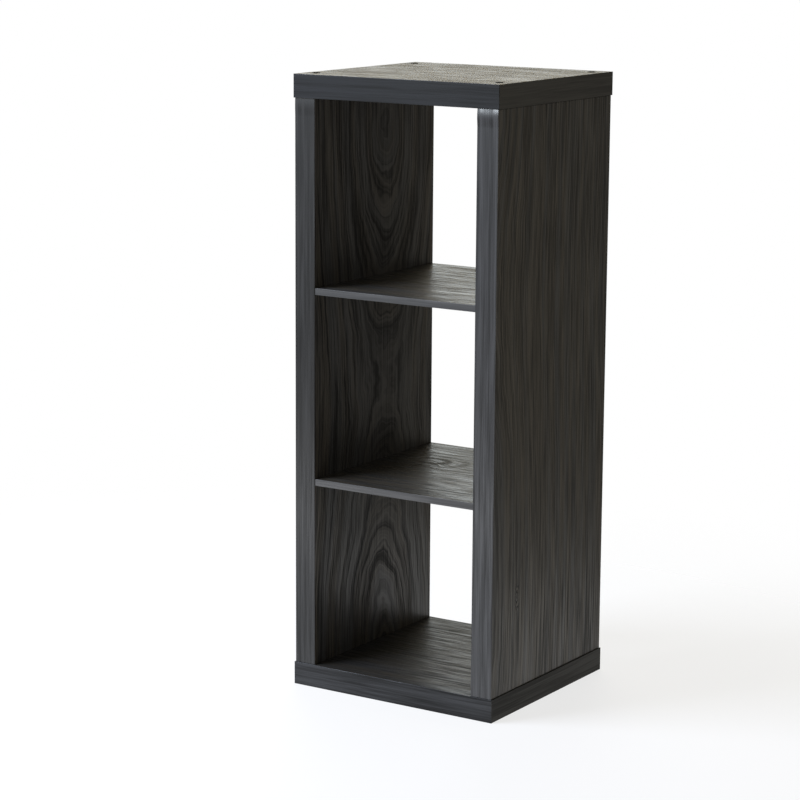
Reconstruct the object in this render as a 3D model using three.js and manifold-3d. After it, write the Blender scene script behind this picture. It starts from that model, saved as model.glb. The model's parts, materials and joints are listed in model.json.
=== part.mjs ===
// Three-cube open storage unit, in millimetres: +X right, -Y front, +Z up, origin at the centre of the base.
//
// Two thick side panels stand between a thick top and a thick bottom panel that overhang them a little all
// round. Two thin shelves split the space between the sides into three square openings with no back.
// Every thick panel is a hollow-core board: two skins glued to a frame round a honeycomb core, with an edge
// band on each visible edge. Eight bolts with hexagon sockets hold the corners, wooden dowels locate the
// sides and carry the shelves, and four caps cover the bolt heads in the top.
import * as THREE from "three";
import { mergeVertices } from "three/addons/utils/BufferGeometryUtils.js";
import Module from "manifold-3d";

const wasm = await Module();
wasm.setup();

// ---- Driving dimensions ----
const WIDTH = 417;
const DEPTH = 390;
const HEIGHT = 1101;
const PANEL = 41.5; // thickness of the top, bottom and side panels
const OVERHANG = 2; // of the top and bottom panels past the sides, all round
const SHELF = 12; // thickness of a shelf
const SHELF_SETBACK = 1; // of a shelf's edges behind the side panels' edges, front and back
const SEAM = 0.25; // gap left where one board meets another

// ---- Make-up of a hollow-core panel ----
const SKIN = 3;
const BAND = 1; // thickness of an edge band
const RAIL = 60; // width of the frame's members
const CORE_CLEARANCE = 0.5; // between the honeycomb and the frame
const CELL = 66; // honeycomb pitch aimed at, before it is rounded to fill the frame
const CELL_WALL = 2;

// ---- Bolts, caps and dowels ----
const BOLT_INSET = 37; // from the front or back edge of the top to a bolt's axis
const HEAD_D = 11;
const HEAD_H = 3;
const SHANK_D = 7;
const SHANK_LENGTH = 80;
const TIP_D = 4.5;
const TIP_LENGTH = 5;
const SOCKET_ACROSS = 5; // hexagon socket, across its corners
const SOCKET_DEPTH = 2.5;
const COUNTERBORE_D = 12;
const COUNTERBORE_DEPTH = 8;
const SHANK_HOLE_D = 7.8;
const CAP_D = 14;
const CAP_H = 1.25;
const CAP_STEM_D = 11.25;
const CAP_STEM_BORE_D = 9;
const CAP_STEM_LENGTH = 4;
const DOWEL_D = 8; // locates a side panel against the top or bottom
const DOWEL_LENGTH = 34;
const SHELF_DOWEL_D = 6;
const SHELF_DOWEL_IN_SIDE = 8;
const SHELF_DOWEL_IN_SHELF = 20;
const SHELF_DOWEL_INSET = 37; // from the front or back edge of the side panel
const DOWEL_CLEARANCE = 0.6; // on the diameter of a dowel's hole
const HOLE_SPARE = 0.5; // depth of a blind hole past the end of its dowel
const CHAMFER = 1;
const SIDES = 12; // facets round a pin or a hole
const CAP_SIDES = 24;

// ---- Worked-out places ----
const OPENING = WIDTH - 2 * (OVERHANG + PANEL);
const SIDE_DEPTH = DEPTH - 2 * OVERHANG;
const SIDE_HEIGHT = HEIGHT - 2 * (PANEL + SEAM);
const SIDE_X = OPENING / 2 + PANEL / 2; // centre of a side panel
const CUBE = (HEIGHT - 2 * PANEL - 2 * SHELF) / 3;
const SHELF_DEPTH = SIDE_DEPTH - 2 * SHELF_SETBACK;
const SHELF_LENGTH = OPENING - 2 * SEAM;
const SHELF_Z = { lower: PANEL + CUBE, upper: PANEL + 2 * CUBE + SHELF }; // underside of each shelf
const BOLT_Y = DEPTH / 2 - BOLT_INSET;
const SHELF_DOWEL_Y = SIDE_DEPTH / 2 - SHELF_DOWEL_INSET;
const ENDS = { left: -1, right: 1 };
const EDGES = { front: -1, back: 1 };

// ---- Materials ----
const material = (color, roughness, metalness = 0) =>
  new THREE.MeshStandardMaterial({ color, roughness, metalness });
const MATERIALS = {
  laminate: material(0x2c2926, 0.45),
  band: material(0x3a3c40, 0.4),
  frame: material(0xb59a74, 0.85),
  core: material(0xa98a5f, 0.95),
  dowel: material(0xd2ae7c, 0.7),
  bolt: material(0xb9bcc0, 0.3, 1),
  cap: material(0x101010, 0.5),
};

// ---- Solids ----
// A closed geometry as a solid that can be cut.
function toSolid(geometry) {
  const bare = geometry.index ? geometry.toNonIndexed() : geometry.clone();
  bare.deleteAttribute("normal");
  bare.deleteAttribute("uv");
  const merged = mergeVertices(bare, 1e-4);
  return new wasm.Manifold(
    new wasm.Mesh({
      numProp: 3,
      vertProperties: merged.attributes.position.array,
      triVerts: new Uint32Array(merged.index.array),
    }),
  );
}

// A solid as a flat-shaded geometry.
function toGeometry(solid) {
  const made = solid.getMesh();
  const geometry = new THREE.BufferGeometry()
    .setAttribute("position", new THREE.BufferAttribute(made.vertProperties, 3))
    .setIndex(new THREE.BufferAttribute(made.triVerts, 1))
    .toNonIndexed();
  geometry.computeVertexNormals();
  return geometry;
}

// The geometry with each of the tools taken out of it.
function cut(geometry, tools) {
  const result = tools.reduce((left, tool) => left.subtract(toSolid(tool)), toSolid(geometry));
  return toGeometry(result);
}

// Two numbers as a [from, to] extent.
function span(a, b) {
  return [Math.min(a, b), Math.max(a, b)];
}

// A box from its extent along each axis, [from, to].
function block([x0, x1], [y0, y1], [z0, z1]) {
  return new THREE.BoxGeometry(x1 - x0, y1 - y0, z1 - z0).translate(
    (x0 + x1) / 2,
    (y0 + y1) / 2,
    (z0 + z1) / 2,
  );
}

// A block whose middle is open through its thickness, which runs along "x" or "z", with four members.
function ring(x, y, z, axis) {
  const grow = ([from, to], by) => [from - by, to + by];
  const hole =
    axis === "x"
      ? block(grow(x, 1), grow(y, -RAIL), grow(z, -RAIL))
      : block(grow(x, -RAIL), grow(y, -RAIL), grow(z, 1));
  return [block(x, y, z), hole];
}

// A round bar along Z from z0 to z1.
function barZ(diameter, x, y, [z0, z1], sides = SIDES) {
  return new THREE.CylinderGeometry(diameter / 2, diameter / 2, z1 - z0, sides)
    .rotateX(Math.PI / 2)
    .translate(x, y, (z0 + z1) / 2);
}

// A round bar along X from x0 to x1.
function barX(diameter, [x0, x1], y, z) {
  return new THREE.CylinderGeometry(diameter / 2, diameter / 2, x1 - x0, SIDES)
    .rotateZ(Math.PI / 2)
    .translate((x0 + x1) / 2, y, z);
}

// A solid of revolution about Z from its [radius, z] outline, given from the bottom up.
function turned(outline, sides = SIDES) {
  const points = outline.map(([radius, z]) => new THREE.Vector2(radius, z));
  return new THREE.LatheGeometry(points, sides).rotateX(Math.PI / 2);
}

// A honeycomb slab, width along X, length along Y, thickness along Z, all centred. The cells fill it exactly,
// so that its four edges run through the middles of cells.
function honeycomb(width, length, thickness) {
  const across = Math.round(width / CELL);
  const pitch = width / across;
  const rows = Math.round(length / (pitch * Math.sin(Math.PI / 3)));
  const rowStep = length / rows;
  const halfWidth = (pitch - CELL_WALL) / 2;
  const stretch = rowStep / (pitch * Math.sin(Math.PI / 3));
  const corner = (halfWidth / Math.cos(Math.PI / 6)) * stretch;
  const cells = [];
  for (let row = 0; row <= rows; row += 1) {
    const shift = row % 2 ? pitch / 2 : 0;
    for (let column = 0; column <= across - (row % 2); column += 1) {
      const x = -width / 2 + shift + column * pitch;
      const y = -length / 2 + row * rowStep;
      const outline = [
        [0, corner],
        [-halfWidth, corner / 2],
        [-halfWidth, -corner / 2],
        [0, -corner],
        [halfWidth, -corner / 2],
        [halfWidth, corner / 2],
      ];
      cells.push(new THREE.Shape(outline.map(([dx, dy]) => new THREE.Vector2(x + dx, y + dy))));
    }
  }
  const prisms = new THREE.ExtrudeGeometry(cells, { depth: thickness + 2, bevelEnabled: false });
  prisms.translate(0, 0, -thickness / 2 - 1);
  return cut(new THREE.BoxGeometry(width, length, thickness), [prisms]);
}

// ---- Nodes ----
function piece(name, geometry, finish, x = 0, y = 0, z = 0) {
  const mesh = new THREE.Mesh(geometry, MATERIALS[finish]);
  mesh.name = name;
  mesh.position.set(x, y, z);
  return mesh;
}

// The top or bottom panel. Its frame runs from z = 0 to PANEL, and outward is +1 where the outer face, with the
// counterbores, is the upper one.
function horizontalPanel(name, outward) {
  const panel = new THREE.Group();
  const x = [-WIDTH / 2 + BAND, WIDTH / 2 - BAND];
  const y = [-DEPTH / 2 + BAND, DEPTH / 2 - BAND];
  const layers = { lower_skin: [0, SKIN], frame: [SKIN, PANEL - SKIN], upper_skin: [PANEL - SKIN, PANEL] };

  const outerFace = outward > 0 ? PANEL : 0;
  const innerFace = PANEL - outerFace;
  const holes = [];
  for (const end of Object.values(ENDS)) {
    for (const edge of Object.values(EDGES)) {
      const [boltX, boltY] = [end * SIDE_X, edge * BOLT_Y];
      const seat = outerFace - outward * COUNTERBORE_DEPTH;
      holes.push(barZ(COUNTERBORE_D, boltX, boltY, span(seat, outerFace + outward)));
      holes.push(barZ(SHANK_HOLE_D, boltX, boltY, span(seat + outward, innerFace - outward)));
    }
    const dowelEnd = innerFace + outward * (DOWEL_LENGTH / 2 + HOLE_SPARE);
    holes.push(
      barZ(DOWEL_D + DOWEL_CLEARANCE, end * SIDE_X, 0, span(innerFace - outward, dowelEnd)),
    );
  }
  for (const [layer, z] of Object.entries(layers)) {
    const [body, ...middle] = layer === "frame" ? ring(x, y, z, "z") : [block(x, y, z)];
    const finish = layer === "frame" ? "frame" : "laminate";
    panel.add(piece(`${name}_${layer}`, cut(body, [...middle, ...holes]), finish));
  }

  const coreWidth = WIDTH - 2 * (BAND + RAIL + CORE_CLEARANCE);
  const coreLength = DEPTH - 2 * (BAND + RAIL + CORE_CLEARANCE);
  const core = honeycomb(coreWidth, coreLength, PANEL - 2 * SKIN);
  panel.add(piece(`${name}_core`, core, "core", 0, 0, PANEL / 2));

  for (const [edge, way] of Object.entries(EDGES)) {
    const band = new THREE.BoxGeometry(WIDTH, BAND, PANEL);
    const bandY = way * (DEPTH / 2 - BAND / 2);
    panel.add(piece(`${name}_${edge}_edge_band`, band, "band", 0, bandY, PANEL / 2));
  }
  for (const [end, way] of Object.entries(ENDS)) {
    const band = new THREE.BoxGeometry(BAND, DEPTH - 2 * BAND, PANEL);
    const bandX = way * (WIDTH / 2 - BAND / 2);
    panel.add(piece(`${name}_${end}_edge_band`, band, "band", bandX, 0, PANEL / 2));
  }
  return panel;
}

// A side panel centred on x = 0 and standing on z = 0. outward is the way its outer face looks along X.
function sidePanel(name, outward) {
  const panel = new THREE.Group();
  const y = [-SIDE_DEPTH / 2 + BAND, SIDE_DEPTH / 2 - BAND];
  const z = [0, SIDE_HEIGHT];
  const layer = (from, to) => span(outward * from, outward * to);
  const inner = layer(-PANEL / 2, -PANEL / 2 + SKIN);
  const middle = layer(-PANEL / 2 + SKIN, PANEL / 2 - SKIN);
  const outer = layer(PANEL / 2 - SKIN, PANEL / 2);

  const shankReach = SHANK_LENGTH - (PANEL - COUNTERBORE_DEPTH) + HOLE_SPARE;
  const dowelReach = DOWEL_LENGTH / 2 + HOLE_SPARE;
  const endHoles = [];
  for (const edge of Object.values(EDGES)) {
    endHoles.push(barZ(SHANK_HOLE_D, 0, edge * BOLT_Y, [-1, shankReach]));
    endHoles.push(barZ(SHANK_HOLE_D, 0, edge * BOLT_Y, [SIDE_HEIGHT - shankReach, SIDE_HEIGHT + 1]));
  }
  endHoles.push(barZ(DOWEL_D + DOWEL_CLEARANCE, 0, 0, [-1, dowelReach]));
  endHoles.push(barZ(DOWEL_D + DOWEL_CLEARANCE, 0, 0, [SIDE_HEIGHT - dowelReach, SIDE_HEIGHT + 1]));

  const shelfHoles = [];
  for (const shelfZ of Object.values(SHELF_Z)) {
    for (const edge of Object.values(EDGES)) {
      const reach = layer(-PANEL / 2 - 1, -PANEL / 2 + SHELF_DOWEL_IN_SIDE + HOLE_SPARE);
      const holeZ = shelfZ + SHELF / 2 - PANEL - SEAM;
      shelfHoles.push(barX(SHELF_DOWEL_D + DOWEL_CLEARANCE, reach, edge * SHELF_DOWEL_Y, holeZ));
    }
  }

  const [frame, opening] = ring(middle, y, z, "x");
  panel.add(piece(`${name}_inner_skin`, cut(block(inner, y, z), shelfHoles), "laminate"));
  panel.add(piece(`${name}_outer_skin`, block(outer, y, z), "laminate"));
  panel.add(piece(`${name}_frame`, cut(frame, [opening, ...endHoles, ...shelfHoles]), "frame"));

  const coreWidth = SIDE_DEPTH - 2 * (BAND + RAIL + CORE_CLEARANCE);
  const coreLength = SIDE_HEIGHT - 2 * (RAIL + CORE_CLEARANCE);
  const core = honeycomb(coreWidth, coreLength, PANEL - 2 * SKIN);
  core.rotateX(Math.PI / 2).rotateZ(Math.PI / 2);
  panel.add(piece(`${name}_core`, core, "core", 0, 0, SIDE_HEIGHT / 2));

  for (const [edge, way] of Object.entries(EDGES)) {
    const band = new THREE.BoxGeometry(PANEL, BAND, SIDE_HEIGHT);
    const bandY = way * (SIDE_DEPTH / 2 - BAND / 2);
    panel.add(piece(`${name}_${edge}_edge_band`, band, "band", 0, bandY, SIDE_HEIGHT / 2));
  }
  return panel;
}

// A shelf resting on z = 0, bored in its ends for two dowels each.
function shelf(name) {
  const board = new THREE.Group();
  const x = [-SHELF_LENGTH / 2, SHELF_LENGTH / 2];
  const y = [-SHELF_DEPTH / 2 + BAND, SHELF_DEPTH / 2 - BAND];
  const reach = OPENING / 2 - SHELF_DOWEL_IN_SHELF - HOLE_SPARE;
  const holes = [];
  for (const edge of Object.values(EDGES)) {
    for (const ends of [[-OPENING / 2, -reach], [reach, OPENING / 2]]) {
      holes.push(barX(SHELF_DOWEL_D + DOWEL_CLEARANCE, ends, edge * SHELF_DOWEL_Y, SHELF / 2));
    }
  }
  board.add(piece(`${name}_board`, cut(block(x, y, [0, SHELF]), holes), "laminate"));
  for (const [edge, way] of Object.entries(EDGES)) {
    const band = new THREE.BoxGeometry(SHELF_LENGTH, BAND, SHELF);
    const bandY = way * (SHELF_DEPTH / 2 - BAND / 2);
    board.add(piece(`${name}_${edge}_edge_band`, band, "band", 0, bandY, SHELF / 2));
  }
  return board;
}

// A bolt with its head's seat on z = 0 and its shank pointing down.
function boltGeometry() {
  const headR = HEAD_D / 2;
  const shankR = SHANK_D / 2;
  const body = turned([
    [0, -SHANK_LENGTH],
    [TIP_D / 2, -SHANK_LENGTH],
    [shankR, -SHANK_LENGTH + TIP_LENGTH],
    [shankR, 0],
    [headR, 0],
    [headR, HEAD_H - CHAMFER / 2],
    [headR - CHAMFER / 2, HEAD_H],
    [0, HEAD_H],
  ]);
  const socket = barZ(SOCKET_ACROSS, 0, 0, [HEAD_H - SOCKET_DEPTH, HEAD_H + 1], 6);
  return cut(body, [socket]);
}

// A cap with its flange's underside on z = 0: a low dome with a tubular stem below it.
function capGeometry() {
  const rimR = CAP_D / 2;
  const stemR = CAP_STEM_D / 2;
  const boreR = CAP_STEM_BORE_D / 2;
  const dome = [
    [rimR, CAP_H * 0.4],
    [rimR * 0.93, CAP_H * 0.7],
    [rimR * 0.75, CAP_H * 0.9],
    [rimR * 0.4, CAP_H],
    [0, CAP_H],
  ];
  const stem = [
    [0, 0],
    [boreR, 0],
    [boreR, -CAP_STEM_LENGTH],
    [stemR, -CAP_STEM_LENGTH],
    [stemR, 0],
  ];
  return turned([...stem, [rimR, 0], ...dome], CAP_SIDES);
}

// A dowel along Z, centred, with chamfered ends.
function dowelGeometry(diameter, length) {
  const radius = diameter / 2;
  const half = length / 2;
  return turned([
    [0, -half],
    [radius - CHAMFER, -half],
    [radius, -half + CHAMFER],
    [radius, half - CHAMFER],
    [radius - CHAMFER, half],
    [0, half],
  ]);
}

// Bolts, caps and dowels, placed where the holes are.
function hardware() {
  const parts = new THREE.Group();
  const seatZ = HEIGHT - COUNTERBORE_DEPTH;
  for (const [end, endWay] of Object.entries(ENDS)) {
    for (const [edge, edgeWay] of Object.entries(EDGES)) {
      const [x, y] = [endWay * SIDE_X, edgeWay * BOLT_Y];
      parts.add(piece(`top_bolt_${edge}_${end}`, boltGeometry(), "bolt", x, y, seatZ));
      const below = boltGeometry().rotateX(Math.PI);
      parts.add(piece(`bottom_bolt_${edge}_${end}`, below, "bolt", x, y, COUNTERBORE_DEPTH));
      parts.add(piece(`top_cap_${edge}_${end}`, capGeometry(), "cap", x, y, HEIGHT));
    }
    const joints = { top: HEIGHT - PANEL - SEAM / 2, bottom: PANEL + SEAM / 2 };
    for (const [joint, z] of Object.entries(joints)) {
      const dowel = dowelGeometry(DOWEL_D, DOWEL_LENGTH);
      parts.add(piece(`${joint}_dowel_${end}`, dowel, "dowel", endWay * SIDE_X, 0, z));
    }
    for (const [level, shelfZ] of Object.entries(SHELF_Z)) {
      for (const [edge, edgeWay] of Object.entries(EDGES)) {
        const length = SHELF_DOWEL_IN_SHELF + SHELF_DOWEL_IN_SIDE;
        const dowel = dowelGeometry(SHELF_DOWEL_D, length).rotateY(Math.PI / 2);
        const x = endWay * (OPENING / 2 + SHELF_DOWEL_IN_SIDE - length / 2);
        const [y, z] = [edgeWay * SHELF_DOWEL_Y, shelfZ + SHELF / 2];
        parts.add(piece(`${level}_shelf_dowel_${edge}_${end}`, dowel, "dowel", x, y, z));
      }
    }
  }
  return parts;
}

// ---- Assembly ----
const unit = new THREE.Group();
unit.name = "cube_storage_unit";

const bottomPanel = horizontalPanel("bottom_panel", -1);
const topPanel = horizontalPanel("top_panel", 1);
topPanel.position.z = HEIGHT - PANEL;
unit.add(bottomPanel, topPanel);

for (const [end, way] of Object.entries(ENDS)) {
  const side = sidePanel(`${end}_side`, way);
  side.position.set(way * SIDE_X, 0, PANEL + SEAM);
  unit.add(side);
}
for (const [level, z] of Object.entries(SHELF_Z)) {
  const board = shelf(`${level}_shelf`);
  board.position.z = z;
  unit.add(board);
}
unit.add(hardware());

export default unit;
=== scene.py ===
"""Looks for the three-cube storage unit: dark woodgrain laminate on thick hollow-core panels.

Everything is in metres in the CAD frame: +X right, -Y front, +Z up, origin at the centre of the base.
Inner skins, the skins of the top and bottom panels, shelf boards and frames are the CAD's own solids with
new materials. Outer skins, edge bands, honeycomb cores, bolts, caps and dowels are replaced by finer pieces
built here in the same places.
"""

import json
import math

import bmesh
import bpy
from mathutils import Matrix, Vector

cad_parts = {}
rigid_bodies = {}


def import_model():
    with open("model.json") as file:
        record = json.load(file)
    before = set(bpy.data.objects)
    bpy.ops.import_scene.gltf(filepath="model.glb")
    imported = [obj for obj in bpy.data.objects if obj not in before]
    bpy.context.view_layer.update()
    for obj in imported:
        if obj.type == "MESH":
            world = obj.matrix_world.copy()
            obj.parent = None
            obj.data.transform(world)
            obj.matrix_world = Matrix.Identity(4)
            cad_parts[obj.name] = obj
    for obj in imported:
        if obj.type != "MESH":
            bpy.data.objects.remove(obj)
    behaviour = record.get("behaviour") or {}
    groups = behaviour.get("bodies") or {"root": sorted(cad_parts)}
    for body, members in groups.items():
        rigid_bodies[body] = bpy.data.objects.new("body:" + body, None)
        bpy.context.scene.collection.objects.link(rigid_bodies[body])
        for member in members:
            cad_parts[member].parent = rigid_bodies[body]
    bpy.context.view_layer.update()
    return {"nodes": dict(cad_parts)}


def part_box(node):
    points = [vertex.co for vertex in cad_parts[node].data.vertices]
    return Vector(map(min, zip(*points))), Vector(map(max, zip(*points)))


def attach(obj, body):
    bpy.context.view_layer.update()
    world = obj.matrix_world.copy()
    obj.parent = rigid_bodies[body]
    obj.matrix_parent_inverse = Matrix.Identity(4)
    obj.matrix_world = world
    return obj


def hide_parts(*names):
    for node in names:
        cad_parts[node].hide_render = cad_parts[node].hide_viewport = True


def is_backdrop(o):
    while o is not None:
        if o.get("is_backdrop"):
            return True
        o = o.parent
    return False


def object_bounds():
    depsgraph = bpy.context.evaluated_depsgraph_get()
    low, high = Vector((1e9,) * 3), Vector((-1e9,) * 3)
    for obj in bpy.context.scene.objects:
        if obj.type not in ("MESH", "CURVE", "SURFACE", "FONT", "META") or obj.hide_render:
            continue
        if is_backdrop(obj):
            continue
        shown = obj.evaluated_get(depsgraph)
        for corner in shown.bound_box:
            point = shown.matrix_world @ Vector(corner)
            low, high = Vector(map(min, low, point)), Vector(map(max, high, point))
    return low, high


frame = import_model()
MM = 0.001
X, Y, Z = 0, 1, 2
MIX_A, MIX_B, MIX_RESULT = 6, 7, 2  # a Mix node's colour sockets
NEAR = 0.001 * MM  # closer than this counts as the same place

# ---- Camera ----
CAMERA_PLACE = (2.4388, -3.9138, 1.4224)
CAMERA_YAW = math.radians(-33.08)  # to the left of straight back
CAMERA_PITCH = math.radians(-11.13)
CAMERA_ROLL = math.radians(0.35)
CAMERA_LENS = 117.73  # mm
CAMERA_SENSOR = 36  # mm

# ---- Studio ----
FLOOR_PLACE = (-0.1, -0.4, 0)
FLOOR_RADIUS = 4.0
FLOOR_COLOUR = (0.2, 0.2, 0.2)
FLOOR_GLOW = 0.75
FLOOR_FADE = (0.8, 1.9)  # where the floor starts and ends dissolving into the white surroundings
AMBIENT = (0.275, 0.26, 0.234)  # what the surroundings light the unit with

# name: place, aimed at, width, height, power in watts, colour
LIGHTS = {
    "backdrop_left": ((-2.6, 3.6, 1.2), (0, 0, 0.9), 3.6, 2.2, 36, (0.9, 0.98, 1.0)),
    "back_high": ((-1.4, 2.6, 2.7), (0, 0, 0.7), 2.4, 1.2, 18, (1.0, 0.82, 0.48)),
    "overhead_front": ((-2.0, -2.0, 2.7), (0, 0, 0.5), 1.8, 1.8, 200, (0.76, 0.83, 1.0)),
    "bounce_card": ((-0.9, -1.35, 0.02), (-0.9, -1.35, 1.0), 1.0, 1.0, 3.5, (1.0, 1.0, 1.0)),
    "right_low": ((3.0, 0.6, 0.4), (0, 0, 0.4), 2.0, 0.7, 8, (1.0, 0.88, 0.58)),
    "stile_highlight": ((-1.6, -3.1, 1.57), (0, 0, 1.05), 0.7, 0.3, 28, (0.85, 0.93, 1.0)),
}

# ---- Finer geometry ----
ROUND = 0.6 * MM  # edge bands' outer edges
SKIN_ROUND = 1.0 * MM  # top and bottom edges of the outer skins
ROUND_STEPS = 3
FLARE_RISE = 14 * MM  # from a side panel's top end down to the crest of its front band's flare
FLARE_FALL = 18 * MM  # from the crest down to the flat face
FLARE = {"left": 0.4 * MM, "right": 1.0 * MM}
FLARE_STEP = 1.5 * MM
CELL = 24 * MM  # honeycomb, across flats
CELL_WALL = 0.6 * MM
THREAD_PITCH = 2.5 * MM
THREAD_DEPTH = 0.6 * MM
THREAD_START = 24 * MM  # below the head
TURN_STEPS = 24
HEXAGON = 5 * MM  # socket, across flats
SOCKET_DEPTH = 2.5 * MM
CAP_CROWN = 1.25 * MM  # a cap's highest point above the top panel
CAP_LIP = 0.35 * MM
CAP_STEM = 5.6 * MM  # radius
CAP_BORE = 4.5 * MM  # radius
FLUTES = 16
FLUTE_DEPTH = 0.25 * MM
DOWEL_CHAMFER = 1.0 * MM


# ---- Node helpers ----
class Shader:
    """A material's node tree with short ways to add nodes to it."""

    def __init__(self, name):
        self.material = bpy.data.materials.new(name)
        self.material.use_nodes = True
        self.tree = self.material.node_tree
        self.surface = self.tree.nodes["Principled BSDF"]

    def put(self, value, socket):
        """Feeds a socket from another node's output, or sets it to a plain value."""
        if isinstance(value, bpy.types.NodeSocket):
            self.tree.links.new(value, socket)
        elif value is not None:
            socket.default_value = value

    def node(self, kind, inputs=None, **settings):
        made = self.tree.nodes.new("ShaderNode" + kind)
        for name, value in settings.items():
            setattr(made, name, value)
        for name, value in (inputs or {}).items():
            self.put(value, made.inputs[name])
        return made

    def math(self, operation, a, b=None, c=None, clamp=False):
        made = self.node("Math", operation=operation, use_clamp=clamp)
        for socket, value in zip(made.inputs, (a, b, c)):
            self.put(value, socket)
        return made.outputs["Value"]

    def ramp(self, value, low, high, to_low=0.0, to_high=1.0, smooth=True):
        """Value mapped from low..high to to_low..to_high and held there outside."""
        made = self.node("MapRange", clamp=True)
        made.interpolation_type = "SMOOTHSTEP" if smooth else "LINEAR"
        for name, number in zip(
            ("Value", "From Min", "From Max", "To Min", "To Max"), (value, low, high, to_low, to_high)
        ):
            self.put(number, made.inputs[name])
        return made.outputs["Result"]

    def mix_colour(self, factor, a, b):
        made = self.node("Mix", data_type="RGBA")
        self.put(factor, made.inputs[0])
        self.put(a, made.inputs[MIX_A])
        self.put(b, made.inputs[MIX_B])
        return made.outputs[MIX_RESULT]

    def place(self):
        """The piece's own coordinates, in metres."""
        return self.node("TexCoord").outputs["Object"]

    def axes(self):
        return self.node("SeparateXYZ", {"Vector": self.place()}).outputs

    def vector(self, x, y, z):
        return self.node("CombineXYZ", {"X": x, "Y": y, "Z": z}).outputs["Vector"]

    def scaled(self, scale):
        """The piece's coordinates times a number, or times one number for each axis."""
        factors = scale if isinstance(scale, tuple) else (scale, scale, scale)
        return self.node("VectorMath", {0: self.place(), 1: factors}, operation="MULTIPLY").outputs["Vector"]

    def noise(self, vector, detail=2.0, roughness=0.5):
        inputs = {"Vector": vector, "Scale": 1.0, "Detail": detail, "Roughness": roughness}
        return self.node("TexNoise", inputs).outputs["Fac"]

    def bump(self, height, distance):
        inputs = {"Height": height, "Distance": distance, "Strength": 1.0}
        return self.node("Bump", inputs).outputs["Normal"]

    def finish(self, colour, roughness, normal=None, **plain):
        self.put(colour, self.surface.inputs["Base Color"])
        self.put(roughness, self.surface.inputs["Roughness"])
        self.put(normal, self.surface.inputs["Normal"])
        for name, value in plain.items():
            self.surface.inputs[name.replace("_", " ")].default_value = value
        return self.material


# ---- Woodgrain laminate ----
WOOD_DARK = (0.0025, 0.0022, 0.0018)
WOOD_LIGHT = (0.053, 0.0455, 0.034)
GREY_LIGHT = (0.043, 0.0435, 0.043)
LAMINATE_IOR = 1.4
LAMINATE_RELIEF = 0.13 * MM
TAPE_RELIEF = 0.05 * MM
DARK_ROUGHNESS = 0.68
LIGHT_ROUGHNESS = 0.3
FIBRE_ROUGHNESS = 0.85
RING_GAP = 0.011  # metres from one dark line to the next
WANDER = 0.02  # metres that the tree's centre line strays sideways
UNEVENNESS = 0.03  # metres that it strays in depth
MIDDLE_TONE = 0.47
LINE_THINNESS = 9.0  # more makes the dark lines thinner
LINE_DEPTH = 1.5  # in the relief, against the streaks'
KNOT_RING = 0.75  # spacing of a knot's rings, as a part of its half size
KNOT_STRENGTH = 2.8
# how often the streaks change per metre along and across the grain, an offset, and their strength
STREAKS = ((3.0, 45.0, 0.0, 0.6), (14.0, 130.0, 1.0, 1.2), (9.0, 420.0, 12.0, 2.0))
FIBRE_STRENGTH = 1.8


def shade_of(colour, factor=1.0):
    """A colour times a factor, as a node's colour value."""
    return tuple(channel * factor for channel in colour) + (1,)


def growth_rings(s, u, v, seed, centre, deepest, length, depth, swing, knots):
    """Distance from the tree's centre line to each point of a sawn face, in metres, and the knots' rings.

    u runs along the grain and v across it. The centre line runs under v = centre, at depth plus swing where
    u = deepest and at depth minus swing half of length away, which closes the rings into arches.
    """
    wander = s.noise(s.vector(s.math("MULTIPLY", u, 2.1), seed, s.math("MULTIPLY", v, 5.0)), 3.0)
    aside = s.math("SUBTRACT", s.math("MULTIPLY_ADD", wander, WANDER, v), centre + WANDER / 2)
    turn = s.math("MULTIPLY_ADD", u, 2 * math.pi / length, -2 * math.pi * deepest / length)
    uneven = s.noise(s.vector(s.math("MULTIPLY", u, 9.0), seed + 7.0, s.math("MULTIPLY", v, 9.0)), 3.0)
    below = s.math("MULTIPLY_ADD", s.math("COSINE", turn), swing, depth - UNEVENNESS / 2)
    below = s.math("MULTIPLY_ADD", uneven, UNEVENNESS, below)
    radius = s.math("SQRT", s.math("MULTIPLY_ADD", aside, aside, s.math("MULTIPLY", below, below)))
    eye = 0.0
    for knot_u, knot_v, knot_length, knot_width, push in knots:
        far_u = s.math("MULTIPLY", s.math("SUBTRACT", u, knot_u), 1 / knot_length)
        far_v = s.math("MULTIPLY", s.math("SUBTRACT", v, knot_v), 1 / knot_width)
        away = s.math("MULTIPLY_ADD", far_u, far_u, s.math("MULTIPLY", far_v, far_v))
        radius = s.math("MULTIPLY_ADD", s.math("POWER", math.exp(-1), away), push, radius)
        bent = s.math("MULTIPLY_ADD", uneven, 0.8, s.math("SQRT", away))
        turns = s.math("MULTIPLY_ADD", bent, 2 * math.pi / KNOT_RING, -0.8 * math.pi / KNOT_RING)
        ring = s.math("POWER", s.math("MULTIPLY_ADD", s.math("COSINE", turns), 0.5, 0.5), 2.0)
        eye = s.math("MULTIPLY_ADD", ring, s.math("POWER", math.exp(-0.6), away), eye)
    return radius, eye


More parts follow.
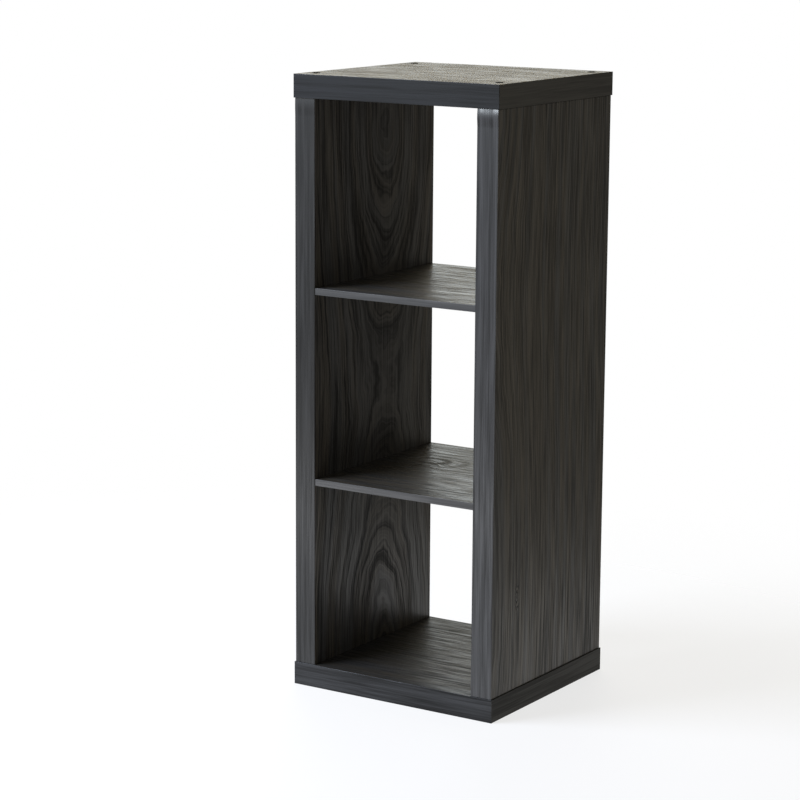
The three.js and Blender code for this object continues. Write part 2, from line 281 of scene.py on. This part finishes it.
def woodgrain(
    s, along, across, seed,
    centre=0.6, deepest=0.5, length=1.1, depth=0.05, swing=0.03, pace=0.8, boldness=0.27, knots=(),
):
    """Printed woodgrain, as its tone from 0 in the darkest lines to 1, how grey it is, and its relief.

    pace is how often the streaks change along the grain, and boldness how dark the lines are.
    """
    xyz = s.axes()
    u, v = xyz[along], xyz[across]
    radius, eye = growth_rings(s, u, v, seed, centre, deepest, length, depth, swing, knots)

    def streaks(scale_along, scale_across, offset, detail, roughness=0.5, sideways=radius):
        lengthwise = s.math("MULTIPLY", u, scale_along * pace)
        crosswise = s.math("MULTIPLY", sideways, scale_across)
        return s.noise(s.vector(lengthwise, crosswise, seed + offset), detail, roughness)

    uneven = s.noise(s.vector(s.math("MULTIPLY", radius, 70.0), seed + 3.0, 0.0), 2.0)
    phase = s.math("MULTIPLY_ADD", radius, 2 * math.pi / RING_GAP, s.math("MULTIPLY", uneven, 8.0))
    late = s.math("POWER", s.math("MULTIPLY_ADD", s.math("SINE", phase), 0.5, 0.5), LINE_THINNESS)
    strength = s.ramp(streaks(6.0, 30.0, 5.0, 3.0), 0.46, 0.66)
    lines = s.math("MULTIPLY_ADD", late, strength, s.math("MULTIPLY", eye, KNOT_STRENGTH))

    tone = MIDDLE_TONE
    for scale_along, scale_across, offset, strength_of in STREAKS:
        streak = streaks(scale_along, scale_across, offset, 2.0, 0.6)
        tone = s.math("MULTIPLY_ADD", s.math("SUBTRACT", streak, 0.5), strength_of, tone)
    fibre = streaks(22.0, 900.0, 2.0, 2.0, sideways=v)
    relief = s.math("MULTIPLY_ADD", lines, -LINE_DEPTH, s.math("ADD", streak, fibre))
    tone = s.math("MULTIPLY_ADD", s.math("SUBTRACT", fibre, 0.5), FIBRE_STRENGTH, tone)
    tone = s.math("MULTIPLY_ADD", lines, -boldness, tone, clamp=True)
    return tone, s.ramp(streaks(2.0, 55.0, 9.0, 3.0), 0.4, 0.62), relief


def laminate(name, along, across, seed, facing, painted_light_factor=1.0, matte=0.0, **figure):
    """Dark woodgrain laminate on the faces that look along the facing axis.

    facing is (sign, axis), with 0 for both ways. The other faces show the fibreboard under the laminate.
    matte is added to the roughness, the lightness factor scales the colours as painted light and shade for
    one board against the others, and figure holds woodgrain's own settings.
    """
    s = Shader(name)
    tone, greyness, relief = woodgrain(s, along, across, seed, **figure)
    light = s.mix_colour(greyness, shade_of(WOOD_LIGHT, painted_light_factor), shade_of(GREY_LIGHT, painted_light_factor))
    colour = s.mix_colour(tone, shade_of(WOOD_DARK, painted_light_factor), light)
    roughness = s.ramp(tone, 0.1, 0.8, DARK_ROUGHNESS + matte, LIGHT_ROUGHNESS + matte, smooth=False)
    sign, axis = facing
    normal = s.node("NewGeometry").outputs["Normal"]
    faced = s.node("SeparateXYZ", {"Vector": normal}).outputs[axis]
    faced = s.math("MULTIPLY", faced, sign) if sign else s.math("ABSOLUTE", faced)
    printed = s.math("GREATER_THAN", faced, 0.2)
    colour = s.mix_colour(printed, fibre_colour(s), colour)
    above_fibre = s.math("SUBTRACT", roughness, FIBRE_ROUGHNESS)
    roughness = s.math("MULTIPLY_ADD", printed, above_fibre, FIBRE_ROUGHNESS)
    return s.finish(colour, roughness, s.bump(relief, LAMINATE_RELIEF), IOR=LAMINATE_IOR)


def edge_tape(name, along, across, seed, colour, contrast, roughness, ior=1.4):
    """Plastic edge tape: one colour with fine printed streaks along it and a faint brushed surface."""
    s = Shader(name)
    xyz = s.axes()
    u, v = xyz[along], xyz[across]
    wander = s.noise(s.vector(s.math("MULTIPLY", u, 4.0), s.math("MULTIPLY", v, 10.0), seed + 4.0), 2.0)
    bent = s.math("MULTIPLY_ADD", wander, 0.006, v)
    broad = s.noise(s.vector(s.math("MULTIPLY", u, 2.6), s.math("MULTIPLY", bent, 110.0), seed), 2.0)
    fine = s.noise(s.vector(s.math("MULTIPLY", u, 9.0), s.math("MULTIPLY", bent, 420.0), seed + 2.0), 3.0)
    slow = s.noise(s.vector(s.math("MULTIPLY", u, 3.4), seed + 8.0, 0.0), 1.0)
    tone = s.math("MULTIPLY_ADD", s.math("SUBTRACT", broad, 0.5), 2.2, 0.5)
    tone = s.math("MULTIPLY_ADD", s.math("SUBTRACT", fine, 0.5), 2.2, tone)
    tone = s.math("MULTIPLY_ADD", s.math("SUBTRACT", slow, 0.5), 0.9, tone, clamp=True)
    printed = s.mix_colour(tone, shade_of(colour, 1 - contrast), shade_of(colour, 1 + contrast))
    gloss = s.ramp(tone, 0.0, 1.0, roughness + 0.12, roughness - 0.04, smooth=False)
    return s.finish(printed, gloss, s.bump(fine, TAPE_RELIEF), IOR=ior)


# ---- Other materials ----
def fibre_colour(s):
    """Brown pressed fibre: fine fibres in several browns with darker clumps."""
    fibre = s.ramp(s.noise(s.scaled(900.0), 4.0, 0.7), 0.3, 0.7)
    clump = s.ramp(s.noise(s.scaled(120.0), 3.0), 0.35, 0.75)
    fibres = s.mix_colour(fibre, (0.13, 0.075, 0.038, 1), (0.29, 0.19, 0.105, 1))
    return s.mix_colour(clump, fibres, (0.2, 0.125, 0.068, 1))


def chipboard(name):
    """Frame board: flat chips of several pale browns with dark gaps between them."""
    s = Shader(name)
    warp = s.noise(s.scaled(90.0), 2.0)
    place = s.node("VectorMath", {0: s.scaled(210.0), 1: s.vector(warp, warp, warp)}, operation="ADD")
    cells = s.node("TexVoronoi", {"Vector": place.outputs["Vector"], "Scale": 1.0, "Randomness": 1.0})
    pick = s.node("SeparateColor", {"Color": cells.outputs["Color"]}).outputs[0]
    fibre = s.noise(s.scaled(700.0), 3.0, 0.6)
    chips = s.mix_colour(pick, (0.19, 0.115, 0.058, 1), (0.42, 0.29, 0.165, 1))
    gaps = s.ramp(cells.outputs["Distance"], 0.35, 0.8)
    colour = s.mix_colour(s.math("MULTIPLY", gaps, 0.6), chips, (0.1, 0.058, 0.03, 1))
    colour = s.mix_colour(s.math("MULTIPLY", fibre, 0.35), colour, (0.12, 0.075, 0.04, 1))
    height = s.math("SUBTRACT", fibre, gaps)
    return s.finish(colour, s.ramp(fibre, 0.3, 0.7, 0.95, 0.8), s.bump(height, 0.12 * MM))


def kraft_paper(name):
    """Brown recycled paper: soft fibres and small dark flecks."""
    s = Shader(name)
    fibre = s.noise(s.scaled((500.0, 500.0, 900.0)), 4.0, 0.65)
    fleck = s.ramp(s.noise(s.scaled(1400.0), 1.0), 0.64, 0.7)
    colour = s.mix_colour(s.ramp(fibre, 0.3, 0.7), (0.24, 0.15, 0.08, 1), (0.38, 0.265, 0.16, 1))
    colour = s.mix_colour(fleck, colour, (0.12, 0.075, 0.04, 1))
    return s.finish(colour, s.ramp(fibre, 0.3, 0.7, 0.95, 0.84), s.bump(fibre, 0.05 * MM))


def beech(name, axis):
    """Dowel wood: straight pale pinkish grain along the dowel with short dark ray flecks."""
    s = Shader(name)
    stretch = [520.0, 520.0, 520.0]
    stretch[axis] = 24.0
    grain = s.noise(s.scaled(tuple(stretch)), 4.0, 0.6)
    stretch[axis] = 170.0
    ray = s.ramp(s.noise(s.scaled(tuple(stretch)), 1.0), 0.62, 0.72)
    colour = s.mix_colour(s.ramp(grain, 0.3, 0.7), (0.42, 0.25, 0.13, 1), (0.64, 0.45, 0.27, 1))
    colour = s.mix_colour(s.math("MULTIPLY", ray, 0.6), colour, (0.27, 0.14, 0.07, 1))
    return s.finish(colour, s.ramp(grain, 0.3, 0.7, 0.75, 0.55), s.bump(grain, 0.04 * MM))


def zinc_steel(name):
    """Zinc-plated steel: pale grey metal, cloudy and slightly uneven in gloss."""
    s = Shader(name)
    cloud = s.noise(s.scaled(260.0), 3.0, 0.6)
    scratch = s.noise(s.scaled((1500.0, 1500.0, 260.0)), 2.0)
    colour = s.mix_colour(s.ramp(cloud, 0.35, 0.7), (0.50, 0.50, 0.49, 1), (0.69, 0.7, 0.72, 1))
    roughness = s.math("MULTIPLY_ADD", cloud, 0.22, s.math("MULTIPLY", scratch, 0.16))
    return s.finish(colour, roughness, s.bump(scratch, 0.01 * MM), Metallic=1.0)


def moulded_plastic(name, colour):
    """Dark moulded plastic with a fine spark-eroded texture and a faintly cloudy colour."""
    s = Shader(name)
    spark = s.noise(s.scaled(2600.0), 2.0, 0.6)
    cloud = s.noise(s.scaled(240.0), 2.0)
    clouded = s.mix_colour(s.ramp(cloud, 0.3, 0.7), shade_of(colour, 0.75), shade_of(colour))
    roughness = s.ramp(spark, 0.3, 0.7, 0.75, 0.55)
    return s.finish(clouded, roughness, s.bump(spark, 0.02 * MM), IOR=1.3, Specular_IOR_Level=0.02)


# ---- Pieces ----
def show(node, material):
    """Gives a carried-over CAD node its material."""
    mesh = frame["nodes"][node].data
    mesh.materials.clear()
    mesh.materials.append(material)


def add_piece(suffix, node, material, mesh):
    """A new piece that stands for one CAD node. Its mesh is in the CAD frame, or shared and placed later."""
    if not mesh.materials:
        mesh.materials.append(material)
    piece = bpy.data.objects.new(f"{node}_{suffix}", mesh)
    bpy.context.scene.collection.objects.link(piece)
    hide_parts(node)
    return piece


def mesh_of(name, shape, sharp=None):
    """Turns a bmesh into a mesh. With a sharp angle it is smooth except at edges over that angle."""
    bmesh.ops.recalc_face_normals(shape, faces=shape.faces)
    if sharp is not None:
        for face in shape.faces:
            face.smooth = True
        for edge in shape.edges:
            edge.smooth = edge.calc_face_angle(0) < sharp
    mesh = bpy.data.meshes.new(name)
    shape.to_mesh(mesh)
    shape.free()
    return mesh


def rounded_slab(node, outward, runs, radius):
    """The node's box, with the edges of its outward face that run along the given axes rounded."""
    low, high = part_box(node)
    shape = bmesh.new()
    bmesh.ops.create_cube(shape, size=1)
    for corner in shape.verts:
        corner.co = [a + (b - a) * (c + 0.5) for a, b, c in zip(low, high, corner.co)]
    axis, sign = outward
    face = high[axis] if sign > 0 else low[axis]

    def is_rounded(edge):
        start, end = (corner.co for corner in edge.verts)
        span = [abs(a - b) for a, b in zip(start, end)]
        on_face = abs(start[axis] - face) < NEAR and abs(end[axis] - face) < NEAR
        return on_face and span.index(max(span)) in runs

    edges = [edge for edge in shape.edges if is_rounded(edge)]
    bmesh.ops.bevel(shape, geom=edges, offset=radius, segments=ROUND_STEPS, profile=0.5, affect="EDGES")
    return mesh_of(node, shape)


def join_rings(shape, rings, closed_ends=True):
    """Joins a list of rings of points with quads, and closes both ends unless told not to."""
    rows = [[shape.verts.new(point) for point in ring] for ring in rings]
    for below, above in zip(rows, rows[1:]):
        count = len(below)
        for i in range(count):
            j = (i + 1) % count
            shape.faces.new((below[i], below[j], above[j], above[i]))
    if closed_ends:
        shape.faces.new(reversed(rows[0]))
        shape.faces.new(rows[-1])
    return rows


def flare_height(below_top, height):
    """How far the front band stands out at a distance below the panel's top end."""
    if below_top < FLARE_RISE:
        return height * math.sin(math.pi / 2 * below_top / FLARE_RISE)
    fall = min(1.0, (below_top - FLARE_RISE) / FLARE_FALL)
    return height * 0.5 * (1 + math.cos(math.pi * fall))


def flared_band(node, height):
    """A side panel's front band: rounded front edges, and a slight flare just under its top end."""
    low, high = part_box(node)
    steps = round((FLARE_RISE + FLARE_FALL) / FLARE_STEP)
    levels = [low.z] + [high.z - FLARE_STEP * (steps - i) for i in range(steps + 1)]

    def corner_arc(centre_x, start_angle):
        for i in range(ROUND_STEPS + 1):
            angle = start_angle + math.pi / 2 * i / ROUND_STEPS
            yield centre_x + ROUND * math.cos(angle), low.y + ROUND + ROUND * math.sin(angle)

    front = [*corner_arc(low.x + ROUND, math.pi), *corner_arc(high.x - ROUND, 1.5 * math.pi)]
    rings = []
    for level in levels:
        out = flare_height(high.z - level, height)
        ring = [(low.x, high.y, level)]
        ring += [(x, y - out, level) for x, y in front]
        ring.append((high.x, high.y, level))
        rings.append(ring)
    shape = bmesh.new()
    join_rings(shape, rings)
    return mesh_of(node, shape)


def turned(profile, steps=TURN_STEPS, radius_at=None):
    """A solid turned about Z from (radius, height) points that start and end on the axis."""
    shape = bmesh.new()
    start, *middle, end = profile
    rings = []
    for radius, height in middle:
        ring = []
        for i in range(steps):
            angle = 2 * math.pi * i / steps
            reach = radius_at(radius, height, angle) if radius_at else radius
            ring.append((reach * math.cos(angle), reach * math.sin(angle), height))
        rings.append(ring)
    rows = join_rings(shape, rings, closed_ends=False)
    for row, (_, height) in ((rows[0], start), (rows[-1], end)):
        tip = shape.verts.new((0, 0, height))
        for i in range(steps):
            shape.faces.new((tip, row[i], row[(i + 1) % steps]))
    return shape


def arc_points(centre_r, centre_z, radius, start, end, steps):
    """Points on a round stretch of a profile, angles in degrees from outward to upward."""
    for i in range(steps + 1):
        angle = math.radians(start + (end - start) * i / steps)
        yield centre_r + radius * math.cos(angle), centre_z + radius * math.sin(angle)


def cap_mesh(node):
    """A cap: a low dome with a rounded rim, and the hollow stem that grips the bolt hole."""
    low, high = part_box(node)
    rim = (high.x - low.x) / 2
    length = high.z - low.z - CAP_CROWN
    dome_steps = 10
    profile = [(0, 0), (CAP_BORE, 0), (CAP_BORE, -length), (CAP_STEM, -length), (CAP_STEM, 0), (rim, 0)]
    for i in range(dome_steps):
        angle = math.pi / 2 * i / dome_steps
        profile.append((rim * math.cos(angle), CAP_LIP + (CAP_CROWN - CAP_LIP) * math.sin(angle)))
    profile.append((0, CAP_CROWN))
    return mesh_of("bolt_cap", turned(profile, 2 * TURN_STEPS), sharp=math.radians(40))


def thread(radius, height, angle):
    """Shank radius with a helical thread, at a height counted from the head's underside."""
    if -height < THREAD_START:
        return radius
    turn = (height / THREAD_PITCH - angle / (2 * math.pi)) % 1.0
    groove = min(1.0, 2.4 * abs(turn - 0.5))
    return radius - THREAD_DEPTH * (1 - groove)


def bolt_mesh(shank, head, tip, head_height, shank_length, tip_length):
    """A furniture bolt, head up with its top at z = 0: hexagon socket, round head, thread, plain tip."""
    top = -head_height
    shoulder = top - shank_length
    end = shoulder - tip_length
    tip_chamfer, head_chamfer, head_round = 0.5 * MM, 0.4 * MM, 1.2 * MM
    step = THREAD_PITCH / 6
    rows = round(shank_length / step)
    radius = shank / 2
    corner = HEXAGON / 2 / math.cos(math.pi / 6)
    profile = [(0, end), (tip / 2 - tip_chamfer, end), (tip / 2, end + tip_chamfer), (tip / 2, shoulder)]
    profile += [(radius, shoulder + i * step) for i in range(rows)]
    profile += [(radius, top), (head / 2 - head_chamfer, top), (head / 2, top + head_chamfer)]
    profile += [*arc_points(head / 2 - head_round, -head_round, head_round, 0, 90, 4)]
    profile += [(corner, 0), (corner, -SOCKET_DEPTH), (0, -SOCKET_DEPTH)]

    def reach(radius_here, height, angle):
        if math.isclose(radius_here, corner):
            facet = (angle + math.pi / 6) % (math.pi / 3) - math.pi / 6
            return HEXAGON / 2 / math.cos(facet)
        if math.isclose(radius_here, radius):
            return thread(radius_here, height - top, angle)
        return radius_here

    return mesh_of("threaded_bolt", turned(profile, TURN_STEPS, reach), sharp=math.radians(35))


def dowel_mesh(name, diameter, length):
    """A fluted dowel along Z, centred on the origin, with chamfered ends."""
    half, radius = length / 2, diameter / 2

    def fluted(radius_here, height, angle):
        flute = 0.5 + 0.5 * math.cos(FLUTES * angle)
        return radius_here - FLUTE_DEPTH * (1 - flute)

    narrow, shoulder = radius - DOWEL_CHAMFER, half - DOWEL_CHAMFER
    profile = [(0, -half), (narrow, -half), (radius, -shoulder)]
    profile += [(radius, shoulder), (narrow, half), (0, half)]
    return mesh_of(name, turned(profile, FLUTES * 4, fluted), sharp=math.radians(30))


def honeycomb_mesh(node, thickness_axis):
    """Paper honeycomb that fills the node's box with whole hexagonal cells and shares their walls."""
    low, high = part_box(node)
    first, second = (axis for axis in (X, Y, Z) if axis != thickness_axis)
    corner = CELL / math.sqrt(3)
    columns = int((high[first] - low[first] - 2 * corner) / (1.5 * corner)) + 1
    rows = int((high[second] - low[second] - CELL / 2) / CELL)
    width = 1.5 * corner * (columns - 1) + 2 * corner
    depth = CELL * (rows + 0.5)
    start_first = (low[first] + high[first] - width) / 2 + corner
    start_second = (low[second] + high[second] - depth) / 2 + CELL / 2
    shape = bmesh.new()
    points = {}

    def corner_at(a, b, level):
        key = (round(a / MM, 2), round(b / MM, 2), level)
        if key not in points:
            place = [0, 0, 0]
            place[first], place[second], place[thickness_axis] = a, b, level
            points[key] = shape.verts.new(place)
        return points[key]

    walls = {}
    inner = corner - CELL_WALL / math.sqrt(3)
    bottom, top = low[thickness_axis], high[thickness_axis]
    for column in range(columns):
        for row in range(rows):
            a = start_first + 1.5 * corner * column
            b = start_second + CELL * (row + 0.5 * (column % 2))
            ways = [(math.cos(math.pi / 3 * i), math.sin(math.pi / 3 * i)) for i in range(6)]
            outer_ring = [(a + corner * c, b + corner * d) for c, d in ways]
            inner_ring = [(a + inner * c, b + inner * d) for c, d in ways]
            for i in range(6):
                j = (i + 1) % 6
                for level in (bottom, top):
                    shape.faces.new((
                        corner_at(*outer_ring[i], level),
                        corner_at(*outer_ring[j], level),
                        corner_at(*inner_ring[j], level),
                        corner_at(*inner_ring[i], level),
                    ))
                shape.faces.new((
                    corner_at(*inner_ring[i], bottom),
                    corner_at(*inner_ring[j], bottom),
                    corner_at(*inner_ring[j], top),
                    corner_at(*inner_ring[i], top),
                ))
                wall = (outer_ring[i], outer_ring[j])
                ends = frozenset(tuple(round(n / MM, 2) for n in point) for point in wall)
                walls.setdefault(ends, []).append(wall)
    for shared in walls.values():
        if len(shared) == 1:
            start, end = shared[0]
            shape.faces.new((
                corner_at(*start, bottom),
                corner_at(*end, bottom),
                corner_at(*end, top),
                corner_at(*start, top),
            ))
    return mesh_of(node, shape)


# ---- Panels ----
# one tape on both stiles: the right stile's colour is made lighter than the left's as painted light
STILE_TAPE_PAINTED_LIGHT = {"left": (0.0252, 0.0252, 0.0248), "right": (0.041, 0.041, 0.0415)}
# one tape on both panels: the top's colour is made darker and the bottom's lighter as painted light and shade
END_TAPE_PAINTED_LIGHT = {"top_panel": (0.016, 0.0167, 0.0178), "bottom_panel": (0.022, 0.0226, 0.0238)}
# the bottom panel's side tapes are made much darker than the top's as painted shade, standing in for the
# shadowed floor beside them
END_SIDE_TAPE_PAINTED_SHADE = {"top_panel": (0.016, 0.0155, 0.013), "bottom_panel": (0.0095, 0.0094, 0.0085)}
END_SIDE_ROUGHNESS = {"top_panel": 0.36, "bottom_panel": 0.7}
# one tape on both shelves: the upper shelf's colour is made darker than the lower's as painted shade
SHELF_TAPE_PAINTED_LIGHT = {"upper": (0.058, 0.0575, 0.0565), "lower": (0.07, 0.068, 0.066)}

# each board's woodgrain; a knot is its place along and across, its half length and width, and how far it
# pushes the rings aside
# the inner left wall's lightness factor brightens it as painted light
INNER_FIGURES = {
    "left": dict(
        pace=0.45, boldness=0.17, centre=0.03, deepest=0.52, depth=0.1, swing=0.038, painted_light_factor=1.35
    ),
    "right": dict(pace=0.45, centre=-0.05, deepest=0.3, depth=0.06),
}
OUTER_FIGURES = {
    "left": dict(pace=0.45, centre=0.2, deepest=0.4, length=1.0),
    "right": dict(
        pace=0.45, centre=-0.23, deepest=0.75, length=1.0, knots=((0.2075, -0.111, 0.014, 0.005, 0.04),)
    ),
}
# lightness factors here: the top panel brightened as painted light, the bottom panel darkened as painted
# shade
END_FIGURES = {
    "top_panel": dict(painted_light_factor=1.5, matte=-0.03),
    "bottom_panel": dict(centre=0.3, painted_light_factor=0.7, matte=0.04),
}
# the upper shelf's lightness factor brightens it as painted light
SHELF_FIGURES = {
    "upper": dict(centre=0.3, painted_light_factor=1.25, matte=-0.05),
    "lower": dict(centre=0.35, matte=-0.04, knots=((-0.074, 0.053, 0.05, 0.03, 0.03),)),
}


def side_panel(end, seed):
    """A side panel's skins and its front and back edge bands."""
    way = -1 if end == "left" else 1
    outer = laminate(f"laminate_{end}_outer", Z, Y, seed, facing=(way, X), **OUTER_FIGURES[end])
    inner = laminate(f"laminate_{end}_inner", Z, Y, seed + 3.5, facing=(-way, X), **INNER_FIGURES[end])
    node = f"{end}_side_outer_skin"
    add_piece("rounded", node, outer, rounded_slab(node, (X, way), (Y,), SKIN_ROUND))
    show(f"{end}_side_inner_skin", inner)
    tape = edge_tape(f"tape_{end}_side", Z, X, seed, STILE_TAPE_PAINTED_LIGHT[end], contrast=0.6, roughness=0.23)
    node = f"{end}_side_front_edge_band"
    add_piece("rounded", node, tape, flared_band(node, FLARE[end]))
    node = f"{end}_side_back_edge_band"
    add_piece("rounded", node, tape, rounded_slab(node, (Y, 1), (Z,), ROUND))


def end_panel(panel, seed):
    """The top or bottom panel's skins and its four edge bands."""
    for face, sign, offset in (("upper", 1, 0.0), ("lower", -1, 2.0)):
        name = f"laminate_{panel}_{face}"
        board = laminate(name, X, Y, seed + offset, facing=(sign, Z), **END_FIGURES[panel])
        show(f"{panel}_{face}_skin", board)
    for edge, sign in (("front", -1), ("back", 1)):
        node = f"{panel}_{edge}_edge_band"
        name, colour = f"tape_{panel}_{edge}", END_TAPE_PAINTED_LIGHT[panel]
        tape = edge_tape(name, X, Z, seed + sign, colour, contrast=0.7, roughness=0.26, ior=1.3)
        add_piece("rounded", node, tape, rounded_slab(node, (Y, sign), (X, Z), ROUND))
    for edge, sign in (("left", -1), ("right", 1)):
        node = f"{panel}_{edge}_edge_band"
        name, colour = f"tape_{panel}_{edge}", END_SIDE_TAPE_PAINTED_SHADE[panel]
        roughness = END_SIDE_ROUGHNESS[panel]
        tape = edge_tape(name, Y, Z, seed + 3 + sign, colour, contrast=0.5, roughness=roughness)
        add_piece("rounded", node, tape, rounded_slab(node, (X, sign), (Y,), ROUND))


def shelf(level, seed):
    """A shelf's board and its front and back edge bands."""
    board = laminate(f"laminate_{level}_shelf", X, Y, seed, facing=(0, Z), **SHELF_FIGURES[level])
    show(f"{level}_shelf_board", board)
    for edge, sign in (("front", -1), ("back", 1)):
        node = f"{level}_shelf_{edge}_edge_band"
        name, colour = f"tape_{level}_shelf_{edge}", SHELF_TAPE_PAINTED_LIGHT[level]
        tape = edge_tape(name, X, Z, seed + sign, colour, contrast=0.35, roughness=0.4)
        add_piece("rounded", node, tape, rounded_slab(node, (Y, sign), (X,), ROUND))


side_panel("left", 4.0)
side_panel("right", 11.0)
end_panel("top_panel", 21.0)
end_panel("bottom_panel", 33.0)
shelf("upper", 45.0)
shelf("lower", 57.0)

frame_board = chipboard("frame_board")
paper = kraft_paper("kraft_paper")
for panel, thickness_axis in (("left_side", X), ("right_side", X), ("top_panel", Z), ("bottom_panel", Z)):
    show(f"{panel}_frame", frame_board)
    node = f"{panel}_core"
    add_piece("cells", node, paper, honeycomb_mesh(node, thickness_axis))


# ---- Bolts, caps and dowels ----
def middle(node):
    low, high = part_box(node)
    return (low + high) / 2


steel = zinc_steel("zinc_steel")
threaded = bolt_mesh(
    shank=7 * MM, head=11 * MM, tip=4.5 * MM, head_height=3 * MM, shank_length=80 * MM, tip_length=5 * MM
)
cap_plastic = moulded_plastic("cap_plastic", (0.006, 0.006, 0.0063))
domed = cap_mesh("top_cap_front_left")
for depth in ("front", "back"):
    for end in ("left", "right"):
        for panel in ("top", "bottom"):
            node = f"{panel}_bolt_{depth}_{end}"
            bolt = add_piece("threaded", node, steel, threaded)
            low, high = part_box(node)
            bolt.location = middle(node)
            bolt.location.z = high.z if panel == "top" else low.z
            if panel == "bottom":
                bolt.rotation_euler = (math.pi, 0, 0)
        node = f"top_cap_{depth}_{end}"
        cap = add_piece("domed", node, cap_plastic, domed)
        cap.location = middle(node)
        cap.location.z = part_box(node)[1].z - CAP_CROWN

dowel_wood = beech("dowel_beech", Z)
dowel_meshes = {}
for node in frame["nodes"]:
    if "dowel" not in node:
        continue
    low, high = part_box(node)
    size = high - low
    axis = max((X, Y, Z), key=lambda i: size[i])
    key = "shelf_dowel" if axis == X else "panel_dowel"
    if key not in dowel_meshes:
        dowel_meshes[key] = dowel_mesh(key, size[Y], size[axis])
    dowel = add_piece("fluted", node, dowel_wood, dowel_meshes[key])
    dowel.location = middle(node)
    if axis == X:
        dowel.rotation_euler = (0, math.pi / 2, 0)

for piece in bpy.context.scene.objects:
    if piece.type == "MESH" and piece.name not in frame["nodes"]:
        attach(piece, "root")


# ---- Camera ----
def make_camera():
    data = bpy.data.cameras.new("camera")
    data.lens = CAMERA_LENS
    data.sensor_width = CAMERA_SENSOR
    data.clip_end = 100
    camera = bpy.data.objects.new("camera", data)
    turn = (
        Matrix.Rotation(-CAMERA_YAW, 4, "Z")
        @ Matrix.Rotation(math.pi / 2 + CAMERA_PITCH, 4, "X")
        @ Matrix.Rotation(CAMERA_ROLL, 4, "Z")
    )
    camera.matrix_world = Matrix.Translation(CAMERA_PLACE) @ turn
    bpy.context.scene.collection.objects.link(camera)
    bpy.context.scene.camera = camera


# ---- Studio ----
def make_floor():
    """A pale floor that dissolves into the white surroundings away from the unit."""
    mesh = bpy.data.meshes.new("floor")
    shape = bmesh.new()
    bmesh.ops.create_circle(shape, cap_ends=True, segments=96, radius=FLOOR_RADIUS)
    shape.to_mesh(mesh)
    shape.free()
    floor = bpy.data.objects.new("floor", mesh)
    floor.location = FLOOR_PLACE
    bpy.context.scene.collection.objects.link(floor)

    s = Shader("floor")
    away = s.node("VectorMath", {0: s.place()}, operation="LENGTH").outputs["Value"]
    clear = s.node("BsdfTransparent").outputs["BSDF"]
    glow = dict(Emission_Color=(1, 1, 1, 1), Emission_Strength=FLOOR_GLOW)
    s.finish(shade_of(FLOOR_COLOUR), 0.7, IOR=1.3, **glow)
    faded = s.node("MixShader", {"Fac": s.ramp(away, *FLOOR_FADE)})
    s.put(s.surface.outputs["BSDF"], faded.inputs[1])
    s.put(clear, faded.inputs[2])
    s.put(faded.outputs["Shader"], s.tree.nodes["Material Output"].inputs["Surface"])
    mesh.materials.append(s.material)
    floor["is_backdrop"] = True


def make_world():
    """White where the camera sees it, and a dim grey room for what lights the unit and is reflected in it."""
    world = bpy.data.worlds.new("studio")
    world.use_nodes = True
    tree = world.node_tree
    sky = tree.nodes["Background"]
    path = tree.nodes.new("ShaderNodeLightPath")
    mix = tree.nodes.new("ShaderNodeMix")
    mix.data_type = "RGBA"
    mix.inputs[MIX_A].default_value = (*AMBIENT, 1)
    mix.inputs[MIX_B].default_value = (1, 1, 1, 1)
    tree.links.new(path.outputs["Is Camera Ray"], mix.inputs[0])
    tree.links.new(mix.outputs[MIX_RESULT], sky.inputs["Color"])
    bpy.context.scene.world = world


def make_light(name, place, target, width, height, power, colour):
    """A soft rectangular light that the camera doesn't see."""
    data = bpy.data.lights.new(name, "AREA")
    data.shape = "RECTANGLE"
    data.size, data.size_y = width, height
    data.energy = power
    data.color = colour
    light = bpy.data.objects.new(name, data)
    light.location = place
    light.rotation_euler = (Vector(target) - Vector(place)).to_track_quat("-Z", "Y").to_euler()
    light.visible_camera = False
    bpy.context.scene.collection.objects.link(light)


make_camera()
make_floor()
make_world()
for light_name, settings in LIGHTS.items():
    make_light(light_name, *settings)
bpy.context.scene.view_settings.view_transform = "Standard"

low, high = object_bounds()
